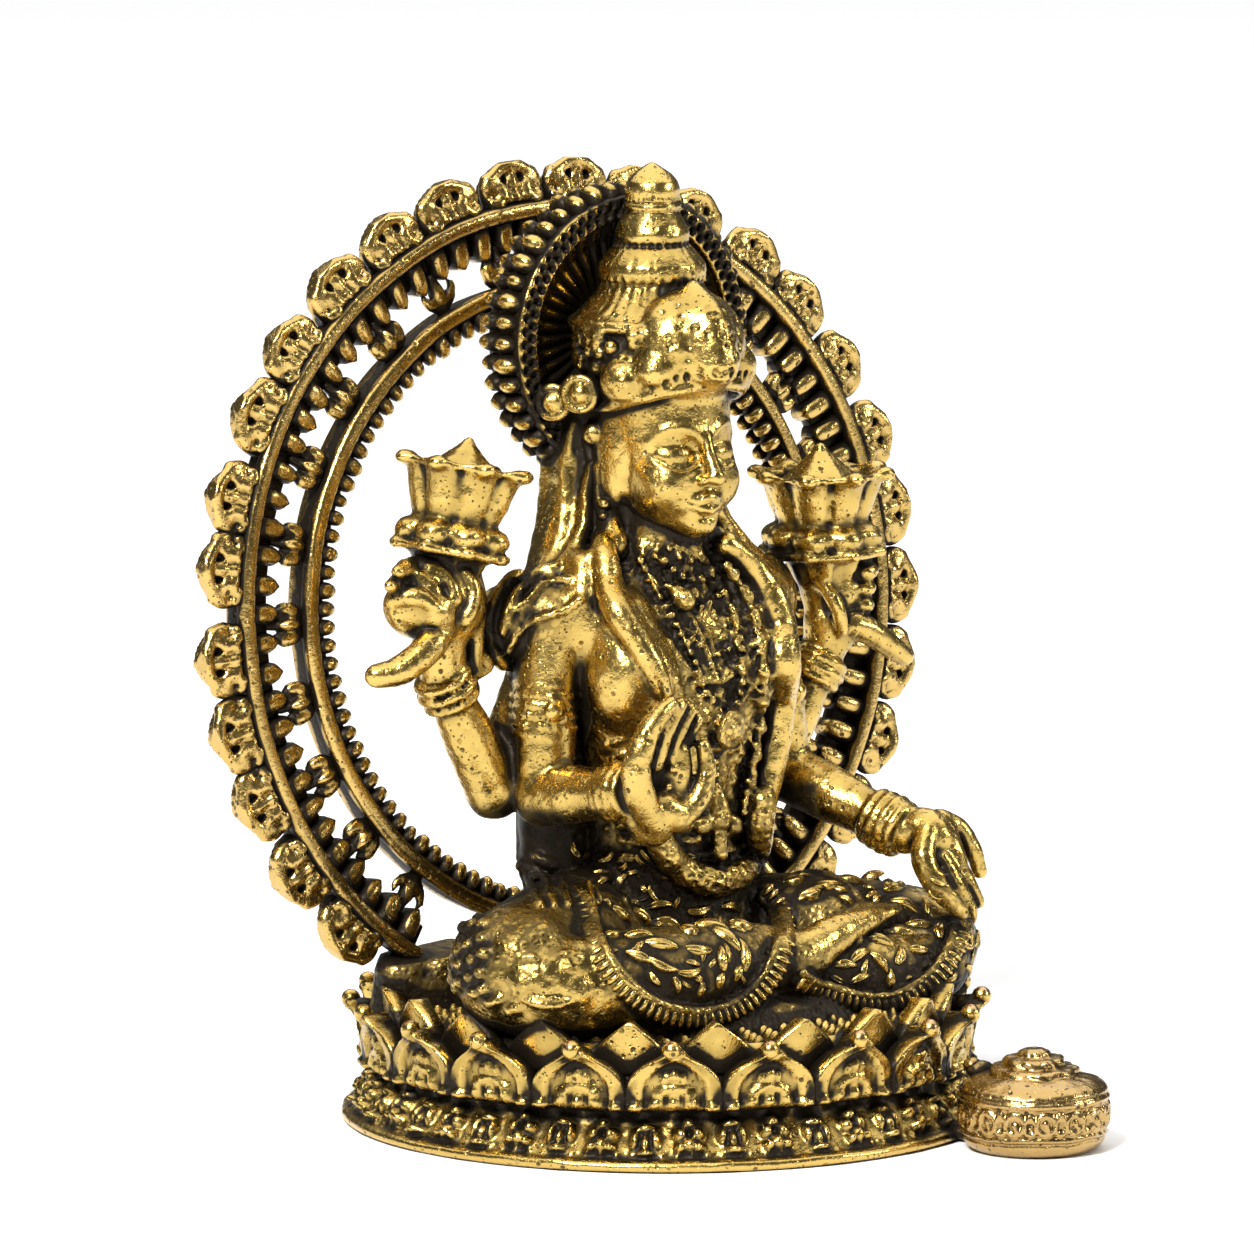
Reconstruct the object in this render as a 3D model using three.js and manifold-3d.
// A small cast-brass goddess figure seated on a lotus base, with a pierced double-hoop
// aureole standing behind the figure and a little round footstool soldered to the front of the base.
// Millimetres, +Z up. The figure faces -Y, its own left hand is at +X.
// The origin is the centre of the flat underside of the lotus base.
import * as THREE from "three";
import { mergeVertices } from "three/addons/utils/BufferGeometryUtils.js";
import Module from "manifold-3d";

const wasm = await Module();
wasm.setup();

// ---------------------------------------------------------------- driving dimensions (mm)
const GAP = 0.3; // clearance left between neighbouring castings

const BASE_R = 20.5; // rim of the lotus base
const RIM_H = 0.9; // height of the rim's edge
const NECK_R = 17.6; // narrowest part of the skirt under the petals
const NECK_Z = 3.3;
const SEAT_R = 16.9;
const SEAT_Z = 7.3; // top of the seat
const PETALS = 20;
const PETAL_R = 19.3; // outer face of the front row of petals
const PETAL_Z0 = 3.7;
const PETAL_Z1 = 7.6; // tips of the front row
const PETAL2_R = 17.65; // second row, offset by half a pitch
const PETAL2_Z1 = 8.8;
const BENCH_Z = 10.4; // block behind the figure that carries the aureole
const BENCH = { cy: 8.7, rx: 16.0, ry: 4.2 };

const RING_Y = 9.66; // plane of the aureole's front face at its centre
const RING_Z = 31.4;
const RING_LEAN = 0.094; // radians, top leans back
const HOOP1_R = 25.0; // centre line of the outer hoop's flange
const HOOP2_R = 20.1; // centre line of the inner hoop's flange
const FLANGE_W = 1.1;
const TONGUE_R = 22.4; // inner ends of the outer hoop's tongues
const TONGUES = 48;
const HOOP1_DEPTH = 2.3;
const HOOP2_DEPTH = 2.3;
const BEAD_R = 18.2; // inner reach of the inner hoop's beads
const BEADS = 48;
const FACETS = 48; // sides of each hoop
const FLOWER_TIP_R = 28.2;
const FLOWER_STEP = 10.86; // degrees
const FLOWER_HALF = 13; // flowers each side of the top
const FOOT_X = 11.6; // half the opening between the feet of the outer hoop
const BUD_FIRST = 112.9; // degrees, one of the small buds joining the two hoops
const BUD_STEP = 13.2;

const STOOL = { x: 11.0, y: -23.05, r: 4.75, h: 4.0, mound: 6.3 };

// skeleton of the figure
const HEAD = { c: [0, -0.6, 42.6], r: [4.2, 4.6, 6.1] };
const CROWN_Y = 1.5;
const HALO = { y: 3.5, z: 48.9, r: 8.9, depth: 3.9 };
const ARM = {
  frontRight: { shoulder: [-7.9, 1.2, 32.0], mid: [-8.8, 1.1, 27.0], elbow: [-9.1, 0.8, 21.0], wrist: [-8.2, -6.9, 22.1] },
  frontLeft: { shoulder: [7.9, 1.2, 32.0], mid: [9.2, 1.4, 26.5], elbow: [10.2, 1.3, 20.8], wrist: [13.3, -6.8, 17.7] },
  rearRight: { shoulder: [-7.2, 3.0, 29.5], mid: [-8.9, 3.6, 25.0], elbow: [-10.2, 3.6, 20.9], wrist: [-15.1, 2.9, 29.2] },
  rearLeft: { shoulder: [7.2, 3.0, 29.5], mid: [9.4, 3.6, 25.0], elbow: [11.0, 3.6, 20.9], wrist: [14.4, 2.9, 27.2] },
};
const LOTUS = {
  right: { c: [-14.2, 2.8, 39.1], r: 4.1, h: 6.0, tilt: 9 },
  left: { c: [14.5, 2.8, 36.7], r: 4.4, h: 5.4, tilt: -1 },
};

// ---------------------------------------------------------------- helpers
const rad = THREE.MathUtils.degToRad;
const V = (a) => new THREE.Vector3(a[0], a[1], a[2]);

function fromGeometry(geometry) {
  const g = geometry.clone();
  g.deleteAttribute("normal");
  g.deleteAttribute("uv");
  const m = mergeVertices(g, 1e-4);
  return new wasm.Manifold(
    new wasm.Mesh({
      numProp: 3,
      vertProperties: new Float32Array(m.attributes.position.array),
      triVerts: new Uint32Array(m.index.array),
    }),
  );
}

// closed loft through rings given as arrays of points, all of one length
function loft(rings) {
  const n = rings[0].length;
  const pos = [];
  const idx = [];
  for (const ring of rings) for (const p of ring) pos.push(p.x, p.y, p.z);
  for (let k = 0; k + 1 < rings.length; k++)
    for (let i = 0; i < n; i++) {
      const j = (i + 1) % n;
      const a = k * n + i, b = k * n + j, c = (k + 1) * n + j, d = (k + 1) * n + i;
      idx.push(a, b, c, a, c, d);
    }
  for (const end of [0, rings.length - 1]) {
    const c = new THREE.Vector3();
    for (const p of rings[end]) c.addScaledVector(p, 1 / n);
    const at = pos.length / 3;
    pos.push(c.x, c.y, c.z);
    for (let i = 0; i < n; i++) {
      const j = (i + 1) % n;
      if (end === 0) idx.push(at, end * n + j, end * n + i);
      else idx.push(at, end * n + i, end * n + j);
    }
  }
  // make the faces point outwards
  let vol = 0;
  const p = (i) => new THREE.Vector3(pos[3 * i], pos[3 * i + 1], pos[3 * i + 2]);
  for (let t = 0; t < idx.length; t += 3) vol += p(idx[t]).dot(p(idx[t + 1]).cross(p(idx[t + 2])));
  if (vol < 0) for (let t = 0; t < idx.length; t += 3) [idx[t + 1], idx[t + 2]] = [idx[t + 2], idx[t + 1]];
  return new wasm.Manifold(
    new wasm.Mesh({ numProp: 3, vertProperties: new Float32Array(pos), triVerts: new Uint32Array(idx) }),
  );
}

// horizontal sections: [z, cx, cy, rx, ry]
function column(sections, n) {
  return loft(
    sections.map(([z, cx, cy, rx, ry]) =>
      Array.from({ length: n }, (_, i) => {
        const a = (2 * Math.PI * i) / n;
        return new THREE.Vector3(cx + rx * Math.cos(a), cy + ry * Math.sin(a), z);
      }),
    ),
  );
}

// limb through points; radii are numbers or [across, other] pairs; ends are rounded
function limb(points, radii, n = 8, side = [0, 0, 1]) {
  const P = points.map(V);
  const rings = [];
  const frame = (t) => {
    let u = new THREE.Vector3().crossVectors(t, V(side));
    if (u.length() < 0.2) u = new THREE.Vector3().crossVectors(t, new THREE.Vector3(0, 1, 0.13));
    u.normalize();
    return [u, new THREE.Vector3().crossVectors(t, u).normalize()];
  };
  const ring = (c, t, ra, rb) => {
    const [u, v] = frame(t);
    return Array.from({ length: n }, (_, i) => {
      const a = (2 * Math.PI * i) / n;
      return c.clone().addScaledVector(u, ra * Math.cos(a)).addScaledVector(v, rb * Math.sin(a));
    });
  };
  P.forEach((c, k) => {
    const t = P[Math.min(k + 1, P.length - 1)].clone().sub(P[Math.max(k - 1, 0)]).normalize();
    const [ra, rb] = Array.isArray(radii[k]) ? radii[k] : [radii[k], radii[k]];
    const e = Math.min(ra, rb) * 0.75;
    if (k === 0) rings.push(ring(c.clone().addScaledVector(t, -e), t, ra * 0.5, rb * 0.5));
    rings.push(ring(c, t, ra, rb));
    if (k === P.length - 1) rings.push(ring(c.clone().addScaledVector(t, e), t, ra * 0.5, rb * 0.5));
  });
  return loft(rings);
}

function ball(c, r, w = 12, h = 8) {
  const g = new THREE.SphereGeometry(1, w, h);
  g.rotateX(Math.PI / 2);
  const s = Array.isArray(r) ? r : [r, r, r];
  g.scale(s[0], s[1], s[2]);
  g.translate(c[0], c[1], c[2]);
  return fromGeometry(g);
}

// turned solid around a vertical axis: profile is [radius, z] from the axis back to the axis
function turned(profile, seg, cx = 0, cy = 0) {
  const g = new THREE.LatheGeometry(profile.map(([r, z]) => new THREE.Vector2(r, z)), seg);
  g.rotateX(Math.PI / 2);
  g.translate(cx, cy, 0);
  let m = fromGeometry(g);
  if (m.volume() < 0) throw new Error("profile order");
  return m;
}

// flat shape in the XZ plane, from the front face y0 back to y0 + depth
function plate(shape, y0, depth, curveSegments = 8) {
  const g = new THREE.ExtrudeGeometry(shape, { depth, bevelEnabled: false, curveSegments, steps: 1 });
  g.rotateX(Math.PI / 2);
  g.translate(0, y0 + depth, 0);
  return fromGeometry(g);
}

const join = (list) => list.reduce((a, b) => a.add(b));

function moved(m, matrix) {
  const mesh = m.getMesh();
  const v = new Float32Array(mesh.vertProperties);
  const p = new THREE.Vector3();
  for (let i = 0; i < v.length; i += 3) {
    p.set(v[i], v[i + 1], v[i + 2]).applyMatrix4(matrix);
    v.set([p.x, p.y, p.z], i);
  }
  return new wasm.Manifold(
    new wasm.Mesh({ numProp: 3, vertProperties: v, triVerts: new Uint32Array(mesh.triVerts) }),
  );
}

function toMesh(m, name, colour) {
  const mesh = m.getMesh();
  const g = new THREE.BufferGeometry();
  g.setAttribute("position", new THREE.BufferAttribute(new Float32Array(mesh.vertProperties), 3));
  g.setIndex(new THREE.BufferAttribute(new Uint32Array(mesh.triVerts), 1));
  const out = new THREE.Mesh(g, new THREE.MeshStandardMaterial({ color: colour, roughness: 0.38, metalness: 1 }));
  out.name = name;
  return out;
}

// ---------------------------------------------------------------- lotus base
function petal(angleDeg, rOut, thick, z0, z1, halfWidth, flare) {
  const h = z1 - z0;
  // pointed arch outline
  const outline = [[-0.8, 0], [0.8, 0], [1.0, 0.42], [0, 1.0], [-1.0, 0.42]];
  const ringAt = (r) =>
    outline.map(([x, t]) => {
      const rr = r + flare * t * t;
      const a = rad(angleDeg) + (x * halfWidth) / rOut;
      return new THREE.Vector3(rr * Math.sin(a), -rr * Math.cos(a), z0 + t * h);
    });
  return loft([ringAt(rOut - thick), ringAt(rOut)]);
}

function lotusBase() {
  const core = turned(
    [
      [0, 0], [BASE_R, 0], [BASE_R - 0.1, RIM_H * 0.8], [19.2, 1.6], [18.0, 2.5],
      [NECK_R, NECK_Z], [18.2, 4.2], [18.0, 6.0], [SEAT_R - 0.6, SEAT_Z], [0, SEAT_Z],
    ],
    40,
  );
  const parts = [core];
  for (let i = 0; i < PETALS; i++) {
    const a = (360 / PETALS) * i;
    parts.push(petal(a, PETAL_R, 1.5, PETAL_Z0, PETAL_Z1, 2.7, 0.35));
    parts.push(petal(a + 180 / PETALS, PETAL2_R, 1.1, 5.8, PETAL2_Z1, 2.2, 0.1));
  }
  // block behind the figure for the feet of the aureole
  parts.push(
    column(
      [
        [6.6, 0, BENCH.cy, BENCH.rx + 0.3, BENCH.ry + 0.3],
        [BENCH_Z, 0, BENCH.cy, BENCH.rx - 0.3, BENCH.ry - 0.3],
      ],
      20,
    ),
  );
  return parts;
}

// ---------------------------------------------------------------- figure
function hand(points, radii, thumb, thumbR, side) {
  return [limb(points, radii, 6, side), limb(thumb, thumbR, 4)];
}

function bangles(from, to, t0, t1, r) {
  const a = V(from).lerp(V(to), t0).toArray();
  const c = V(from).lerp(V(to), t1).toArray();
  const t = V(c).sub(V(a)).normalize();
  const u = new THREE.Vector3().crossVectors(t, new THREE.Vector3(0.2, 0.3, 1)).normalize();
  const w = new THREE.Vector3().crossVectors(t, u);
  return loft([a, c].map((q) => Array.from({ length: 8 }, (_, i) => {
    const s = (2 * Math.PI * i) / 8;
    return V(q).addScaledVector(u, r * Math.cos(s)).addScaledVector(w, r * Math.sin(s));
  })));
}

function heldLotus({ c, r, h, tilt }) {
  // cup: narrow neck, lobed collar, flared petalled bowl, cone in the middle
  const z = h / 2;
  const prof = [
    [0, -z], [r * 0.6, -z], [r * 0.8, -z + 0.6], [r * 0.62, -z + 1.5], [r * 0.72, -z + 2.8],
    [r, z - 0.4], [r * 0.94, z], [r * 0.5, z - 0.2], [0, z + 1.4],
  ];
  const m = turned(prof, 10);
  const stem = limb([[0, 0, -z - 2.4], [0, 0, -z + 0.4]], [1.0, 1.3], 6, [1, 0, 0]);
  const M = new THREE.Matrix4()
    .makeTranslation(c[0], c[1], c[2])
    .multiply(new THREE.Matrix4().makeRotationY(rad(tilt)));
  return moved(m.add(stem), M);
}

function figure() {
  const p = [];
  // torso from the hips up to the neck
  p.push(
    column(
      [
        [6.6, 0, 1.6, 9.2, 6.6], [11.0, 0, 1.5, 8.6, 6.2], [18.0, 0, 0.6, 5.3, 4.3],
        [25.5, 0, -0.1, 6.8, 4.9], [32.0, 0, 0.9, 7.9, 4.2],
        [33.8, 0, 1.1, 6.6, 3.5], [35.0, 0, 0.6, 3.8, 3.1], [38.5, 0, 0.0, 2.8, 2.9],
      ],
      12,
    ),
  );
  for (const s of [-1, 1]) p.push(ball([s * 3.9, -2.5, 28.6], [3.2, 3.1, 3.5], 10, 6));
  // veil and hair falling from the crown to the shoulders
  p.push(
    column(
      [
        [31.0, 0, 3.2, 7.6, 2.8], [33.5, 0, 3.0, 7.6, 3.2], [36.0, 0, 2.7, 6.0, 3.0], [40.0, 0, 2.6, 4.9, 3.2],
        [49.0, 0, 1.6, 4.6, 3.8],
      ],
      10,
    ),
  );
  // gathered cloth behind each shoulder
  p.push(limb([[-8.6, 3.0, 34.0], [-10.3, 3.4, 31.4], [-9.4, 3.4, 29.2]], [1.2, 1.5, 1.0], 6));
  p.push(limb([[8.6, 3.0, 34.0], [10.3, 3.4, 31.4], [9.4, 3.4, 29.2]], [1.2, 1.5, 1.0], 6));
  // head, ears with hanging rings, side bosses of the crown
  p.push(ball(HEAD.c, HEAD.r, 12, 8));
  for (const s of [-1, 1]) {
    p.push(limb([[s * 4.4, 0.2, 43.6], [s * 4.6, -0.2, 41.0], [s * 4.3, -0.6, 37.4]], [0.8, 0.9, 0.6], 6));
    p.push(ball([s * 4.9, -1.3, 46.2], [0.9, 1.3, 1.3], 6, 4));
    p.push(ball([s * 5.3, 1.0, 45.7], [0.9, 1.3, 1.3], 6, 4));
  }
  // crown: band round the brow, wide dome, two bulbs, collar and finial
  p.push(
    column(
      [
        [45.2, 0, 0.1, 4.9, 5.15], [48.6, 0, 0.4, 5.0, 5.0], [49.6, 0, 0.9, 4.7, 4.7],
      ],
      14,
    ),
  );
  p.push(
    turned(
      [
        [0, 48.5], [4.6, 48.5], [4.95, 50.2], [3.7, 52.2], [3.0, 52.7], [3.25, 53.6], [2.0, 55.0],
        [2.2, 55.9], [1.2, 57.2], [1.65, 58.4], [1.2, 59.5], [0, 60.0],
      ],
      14, 0, CROWN_Y,
    ),
  );
  // raised front lobe of the diadem
  p.push(
    loft(
      [[-4.9, 45.6, 2.9, 0.5], [-5.3, 47.4, 2.6, 0.7], [-5.15, 49.2, 1.7, 0.8], [-4.7, 50.5, 0.7, 0.6]].map(([y, z, rx, ry]) =>
        Array.from({ length: 8 }, (_, i) => {
          const a = (2 * Math.PI * i) / 8;
          return new THREE.Vector3(rx * Math.cos(a), y + 0.5 + (ry + 0.5) * Math.sin(a), z);
        }),
      ),
    ),
  );
  // halo disc behind the head
  {
    const { r, y, z, depth } = HALO;
    const prof = [
      [0, 0], [r - 0.3, 0], [r + 0.65, 0.8], [r + 0.55, depth - 1.2], [r - 0.1, depth], [r - 1.3, depth],
      [r - 1.9, depth - 1.3], [0, depth - 1.9],
    ];
    const m = turned(prof, 22);
    // turned axis +Z becomes -Y, so the hollow side looks forwards
    const M = new THREE.Matrix4().makeTranslation(0, y + depth, z).multiply(new THREE.Matrix4().makeRotationX(Math.PI / 2));
    p.push(moved(m, M));
  }
  // arms
  const A = ARM;
  for (const k of ["frontRight", "frontLeft"]) {
    p.push(limb([A[k].shoulder, A[k].mid, A[k].elbow], [2.35, 2.25, 1.95], 8));
    p.push(limb([A[k].elbow, V(A[k].elbow).lerp(V(A[k].wrist), 0.45).toArray(), A[k].wrist], [1.9, 1.85, 1.35], 8));
    p.push(bangles(A[k].elbow, A[k].wrist, 0.72, 0.98, 1.75));
    p.push(bangles(A[k].shoulder, A[k].elbow, 0.52, 0.74, 2.5));
  }
  for (const k of ["rearRight", "rearLeft"]) {
    p.push(limb([A[k].shoulder, A[k].mid, A[k].elbow], [2.0, 1.9, 1.75], 6));
    p.push(limb([A[k].elbow, V(A[k].elbow).lerp(V(A[k].wrist), 0.5).toArray(), A[k].wrist], [1.75, 1.6, 1.3], 8, [0, 1, 0]));
    p.push(bangles(A[k].elbow, A[k].wrist, 0.76, 0.99, 1.75));
  }
  // raised open right hand
  p.push(...hand(
    [[-8.0, -7.6, 22.6], [-7.2, -8.6, 24.2], [-6.6, -8.9, 26.2], [-6.0, -9.1, 28.6]],
    [[1.2, 1.4], [1.0, 1.95], [0.95, 1.9], [0.65, 1.3]],
    [[-8.0, -8.6, 24.0], [-8.6, -9.0, 26.4]], [0.75, 0.5], [0.8, 0.6, 0],
  ));
  // left hand hanging over the knee
  p.push(...hand(
    [[13.6, -7.5, 17.0], [14.4, -9.0, 15.3], [15.3, -10.3, 13.4], [16.0, -11.1, 11.8]],
    [[1.2, 1.4], [1.0, 1.95], [0.95, 1.8], [0.6, 1.2]],
    [[15.2, -8.6, 15.3], [17.2, -8.8, 13.6]], [0.75, 0.5], [0.5, -0.8, -0.2],
  ));
  // rear hands, each closed round a lotus stem with the first finger held out
  p.push(limb([[-15.4, 2.8, 30.0], [-16.4, 2.6, 32.0], [-16.2, 2.6, 34.4]], [1.5, 1.9, 1.5], 6));
  p.push(limb([[-16.6, 2.2, 31.6], [-18.4, 2.0, 30.9], [-20.0, 2.0, 31.1]], [0.85, 0.75, 0.6], 4));
  p.push(limb([[14.6, 2.8, 27.9], [15.3, 2.6, 29.6], [15.1, 2.6, 31.6]], [1.5, 1.9, 1.5], 6));
  p.push(limb([[15.6, 2.2, 29.2], [17.9, 2.0, 27.9], [19.9, 2.0, 27.3]], [0.85, 0.75, 0.6], 4));
  p.push(heldLotus(LOTUS.right), heldLotus(LOTUS.left));
  // crossed legs: thighs, knees, shins, the right foot resting on the left calf
  p.push(limb([[-4.5, 1.0, 11.0], [-10.0, -2.0, 11.4], [-14.6, -4.2, 11.3]], [4.6, 4.7, 4.2], 8));
  p.push(limb([[4.5, 1.0, 10.6], [10.5, -3.0, 10.6], [15.6, -6.4, 10.2]], [4.3, 4.2, 3.5], 8));
  p.push(limb([[-14.2, -6.2, 10.2], [-8.0, -8.6, 10.6], [-1.5, -8.4, 10.8], [2.8, -8.4, 11.0]], [3.3, 3.3, 2.4, 1.6], 8));
  p.push(limb([[14.6, -8.2, 9.4], [9.0, -8.8, 9.0], [3.0, -7.4, 9.0], [-3.0, -5.5, 9.0]], [2.5, 2.5, 2.4, 2.4], 8));
  p.push(limb([[2.6, -8.6, 11.2], [6.5, -8.4, 12.0], [10.8, -8.0, 13.0]], [[1.5, 1.4], [1.3, 1.6], [0.8, 1.2]], 6));
  // hems of the cloth hanging in front of the shins
  p.push(limb([[-7.8, -10.6, 13.2], [-9.4, -11.4, 10.6], [-7.6, -12.2, 8.6], [-3.8, -11.9, 7.9], [-0.2, -11.0, 8.8], [0.9, -9.9, 11.2], [0.0, -9.0, 13.4]],
    [0.7, 0.8, 0.8, 0.8, 0.8, 0.8, 0.7], 5, [0, 1, 0]));
  p.push(limb([[4.2, -11.4, 8.8], [8.6, -12.0, 7.9], [13.2, -11.2, 8.2], [16.8, -8.8, 9.6]], [0.7, 0.8, 0.8, 0.7], 5));
  // cloth lying between the shins and the seat
  p.push(column([[6.2, 0.5, -5.4, 15.6, 8.0], [8.4, 0.5, -5.0, 15.2, 7.3], [9.8, 0.5, -4.4, 13.2, 6.0]], 16));
  // scarf rolls and the long garland
  p.push(limb([[-4.0, 1.6, 37.0], [-4.3, -1.0, 34.6], [-3.8, -4.2, 32.0], [-3.4, -5.2, 28.6], [-3.6, -4.6, 25.6]], [1.0, 1.15, 1.15, 1.1, 0.8], 6, [1, 0, 0]));
  p.push(limb([[4.0, 1.6, 37.0], [4.4, -1.2, 34.6], [5.8, -4.0, 31.2], [6.3, -4.6, 27.0], [5.9, -4.5, 22.8], [4.7, -4.3, 18.0], [2.4, -5.0, 15.2],
    [-1.0, -5.2, 14.5], [-3.4, -4.0, 16.4], [-4.2, -2.6, 19.0]], [1.0, 1.15, 1.2, 1.1, 1.0, 0.95, 0.95, 0.95, 0.9, 0.8], 6, [1, 0, 0]));
  p.push(ball([0.1, -5.3, 25.6], [1.15, 0.7, 1.15], 8, 6));
  p.push(limb([[0.1, -4.3, 21.3], [0.1, -4.1, 19.4], [0.1, -4.1, 17.6]], [[0.7, 0.6], [1.3, 0.9], [0.6, 0.7]], 6, [0, 1, 0]));
  return p;
}

// ---------------------------------------------------------------- aureole
function polar(r, deg) {
  return new THREE.Vector2(r * Math.cos(rad(deg)), r * Math.sin(rad(deg)));
}

function annulus(rOut, rIn, n) {
  const s = new THREE.Shape(Array.from({ length: n }, (_, i) => polar(rOut, (360 * i) / n)));
  s.holes.push(new THREE.Path(Array.from({ length: n }, (_, i) => polar(rIn, (360 * i) / n))));
  return s;
}

// ring whose inner edge is cut into rounded teeth
function toothed(rOut, nOut, rRoot, rTip, teeth, rounded) {
  const s = new THREE.Shape(Array.from({ length: nOut }, (_, i) => polar(rOut, (360 * i) / nOut)));
  const hole = [];
  for (let i = 0; i < teeth; i++) {
    const a = (360 * i) / teeth, w = 360 / teeth;
    if (rounded) hole.push(polar(rRoot, a - w * 0.5), polar(rTip, a - w * 0.2), polar(rTip, a + w * 0.2));
    else hole.push(polar(rRoot, a - w * 0.5), polar(rTip, a));
  }
  s.holes.push(new THREE.Path(hole));
  return s;
}

function aureole() {
  const parts = [];
  parts.push(plate(annulus(HOOP1_R + FLANGE_W / 2, HOOP1_R - FLANGE_W / 2, FACETS), 0, 1.2));
  parts.push(plate(toothed(HOOP1_R + 0.25, FACETS, HOOP1_R - 0.9, TONGUE_R, TONGUES, true), 0.6, HOOP1_DEPTH - 0.6));
  const inner = [
    plate(annulus(HOOP2_R + FLANGE_W / 2, HOOP2_R - FLANGE_W / 2, FACETS), 0, 1.1),
    plate(toothed(HOOP2_R + 0.25, FACETS, HOOP2_R - 0.8, BEAD_R, BEADS, false), 0.4, HOOP2_DEPTH - 0.4),
  ];
  // hooded flower scallops round the outside
  const r0 = HOOP1_R + 0.2;
  for (let k = -FLOWER_HALF; k < FLOWER_HALF; k++) {
    const a = 90 + (k + 0.5) * FLOWER_STEP;
    const s = new THREE.Shape();
    const pts = [[-2.3, 0], [2.3, 0], [2.2, 1.6], [0, FLOWER_TIP_R - r0], [-2.2, 1.6]];
    const c = Math.cos(rad(a)), d = Math.sin(rad(a));
    const world = pts.map(([t, h]) => new THREE.Vector2((r0 + h) * c - t * d, (r0 + h) * d + t * c));
    s.setFromPoints(world);
    parts.push(plate(s, 0.4, 2.3));
  }
  // buds joining the hoops
  for (let k = -12; k <= 9; k++) {
    const a = BUD_FIRST + k * BUD_STEP;
    const m = loft([[HOOP2_R + 0.2, 0.4], [(HOOP2_R + TONGUE_R) / 2 + 0.4, 0.75], [TONGUE_R + 0.9, 0.5]].map(([x, w]) =>
      [[0, w], [w, 0], [0, -w], [-w, 0]].map(([j, k]) => new THREE.Vector3(x, j, k))));
    const M = new THREE.Matrix4().makeRotationY(rad(-a)).premultiply(new THREE.Matrix4().makeTranslation(0, 1.2, 0));
    parts.push(moved(m, M));
  }
  const lean = new THREE.Matrix4().makeTranslation(0, RING_Y, RING_Z).multiply(new THREE.Matrix4().makeRotationX(-RING_LEAN));
  // the outer hoop is open at the bottom, between its two feet
  const open = new THREE.BoxGeometry(2 * FOOT_X, 20, 12);
  open.translate(0, 0, -HOOP1_R + 1.5);
  let ring = moved(join(parts).subtract(fromGeometry(open)).add(join(inner)), lean);
  // feet cut level, just above the block they stand on
  const cutter = new THREE.BoxGeometry(80, 40, 20);
  cutter.translate(0, 10, BENCH_Z + GAP - 10);
  ring = ring.subtract(fromGeometry(cutter));
  return ring;
}

// ---------------------------------------------------------------- footstool
function footstool() {
  const { x, y, r, h, mound } = STOOL;
  return turned(
    [
      [0, 0], [r - 0.75, 0], [r, 0.8], [r - 0.2, 1.2], [r - 0.2, h - 0.9], [r, h - 0.5], [r - 0.6, h + 0.15],
      [r * 0.65, h + 0.5], [r * 0.58, h + 1.0], [r * 0.32, h + 1.3], [r * 0.2, mound - 0.1], [0, mound],
    ],
    24, x, y,
  );
}

// ---------------------------------------------------------------- assembly
const BRASS = 0xb08a3c;
const statue = join([...lotusBase(), ...figure()]);
const ring = aureole();

const root = new THREE.Group();
root.name = "goddess_with_aureole";
root.add(toMesh(statue, "goddess_on_lotus_base", BRASS));
root.add(toMesh(ring, "aureole_ring", BRASS));
root.add(toMesh(footstool(), "footstool", BRASS));

export default root;
